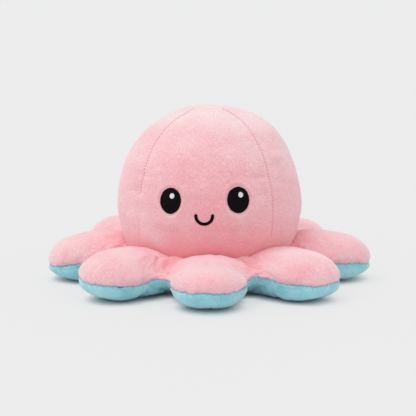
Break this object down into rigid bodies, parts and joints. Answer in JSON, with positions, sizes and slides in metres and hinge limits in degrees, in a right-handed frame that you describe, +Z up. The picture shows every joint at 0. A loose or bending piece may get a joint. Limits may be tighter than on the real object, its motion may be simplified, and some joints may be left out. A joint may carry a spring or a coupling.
{
  "type": "plush octopus",
  "caption": "Stuffed toy octopus with a round head, embroidered eyes and smile, and a ring of short padded tentacles that lift; pink above, blue below, with a hand pocket under the head.",
  "frame": {"origin": "centre of the bounding box, on the plane that the toy stands on", "axes": "+Z up through the middle of the head, the face looks towards -Y and +X is on the viewer's right; one tentacle lies along each of -Y, +X, +Y and -X, and one between each two of these"},
  "size_m": [0.1992, 0.1992, 0.1085],
  "materials": {
    "pink_plush": "short soft pile, matte with a pale sheen",
    "blue_plush": "short soft pile, matte with a pale sheen",
    "fibre_filling": "loose white fibre",
    "black_thread": "satin embroidery",
    "white_thread": "satin embroidery"
  },
  "bodies": {
    "skirt": {"skirt_top": "pink_plush", "skirt_underside": "blue_plush", "skirt_filling": "fibre_filling"},
    "head": {"head_front": "pink_plush", "head_right": "pink_plush", "head_back": "pink_plush", "head_left": "pink_plush", "pocket_front": "blue_plush", "pocket_right": "blue_plush", "pocket_back": "blue_plush", "pocket_left": "blue_plush", "head_filling": "fibre_filling", "eye_left": "black_thread", "eye_highlight_left": "white_thread", "eye_right": "black_thread", "eye_highlight_right": "white_thread", "mouth": "black_thread"},
    "tentacle_right": {"tentacle_right_top": "pink_plush", "tentacle_right_underside": "blue_plush", "tentacle_right_filling": "fibre_filling"},
    "tentacle_back_right": {"tentacle_back_right_top": "pink_plush", "tentacle_back_right_underside": "blue_plush", "tentacle_back_right_filling": "fibre_filling"},
    "tentacle_back": {"tentacle_back_top": "pink_plush", "tentacle_back_underside": "blue_plush", "tentacle_back_filling": "fibre_filling"},
    "tentacle_back_left": {"tentacle_back_left_top": "pink_plush", "tentacle_back_left_underside": "blue_plush", "tentacle_back_left_filling": "fibre_filling"},
    "tentacle_left": {"tentacle_left_top": "pink_plush", "tentacle_left_underside": "blue_plush", "tentacle_left_filling": "fibre_filling"},
    "tentacle_front_left": {"tentacle_front_left_top": "pink_plush", "tentacle_front_left_underside": "blue_plush", "tentacle_front_left_filling": "fibre_filling"},
    "tentacle_front": {"tentacle_front_top": "pink_plush", "tentacle_front_underside": "blue_plush", "tentacle_front_filling": "fibre_filling"},
    "tentacle_front_right": {"tentacle_front_right_top": "pink_plush", "tentacle_front_right_underside": "blue_plush", "tentacle_front_right_filling": "fibre_filling"}
  },
  "joints": [
    {"name": "head_lean", "type": "hinge", "parent": "skirt", "child": "head", "pos_m": [0, 0, 0.0453], "axis": [1, 0, 0], "range_deg": [-8, 8], "stiffness_Nm_per_rad": 0.2},
    {"name": "tentacle_right_lift", "type": "hinge", "parent": "skirt", "child": "tentacle_right", "pos_m": [0.071, 0, 0.01415], "axis": [0, -1, 0], "range_deg": [0, 60], "stiffness_Nm_per_rad": 0.02},
    {"name": "tentacle_back_right_lift", "type": "hinge", "parent": "skirt", "child": "tentacle_back_right", "pos_m": [0.0502, 0.0502, 0.01415], "axis": [0.7071, -0.7071, 0], "range_deg": [0, 60], "stiffness_Nm_per_rad": 0.02},
    {"name": "tentacle_back_lift", "type": "hinge", "parent": "skirt", "child": "tentacle_back", "pos_m": [0, 0.071, 0.01415], "axis": [1, 0, 0], "range_deg": [0, 60], "stiffness_Nm_per_rad": 0.02},
    {"name": "tentacle_back_left_lift", "type": "hinge", "parent": "skirt", "child": "tentacle_back_left", "pos_m": [-0.0502, 0.0502, 0.01415], "axis": [0.7071, 0.7071, 0], "range_deg": [0, 60], "stiffness_Nm_per_rad": 0.02},
    {"name": "tentacle_left_lift", "type": "hinge", "parent": "skirt", "child": "tentacle_left", "pos_m": [-0.071, 0, 0.01415], "axis": [0, 1, 0], "range_deg": [0, 60], "stiffness_Nm_per_rad": 0.02},
    {"name": "tentacle_front_left_lift", "type": "hinge", "parent": "skirt", "child": "tentacle_front_left", "pos_m": [-0.0502, -0.0502, 0.01415], "axis": [-0.7071, 0.7071, 0], "range_deg": [0, 60], "stiffness_Nm_per_rad": 0.02},
    {"name": "tentacle_front_lift", "type": "hinge", "parent": "skirt", "child": "tentacle_front", "pos_m": [0, -0.071, 0.01415], "axis": [-1, 0, 0], "range_deg": [0, 60], "stiffness_Nm_per_rad": 0.02},
    {"name": "tentacle_front_right_lift", "type": "hinge", "parent": "skirt", "child": "tentacle_front_right", "pos_m": [0.0502, -0.0502, 0.01415], "axis": [-0.7071, -0.7071, 0], "range_deg": [0, 60], "stiffness_Nm_per_rad": 0.02}
  ]
}
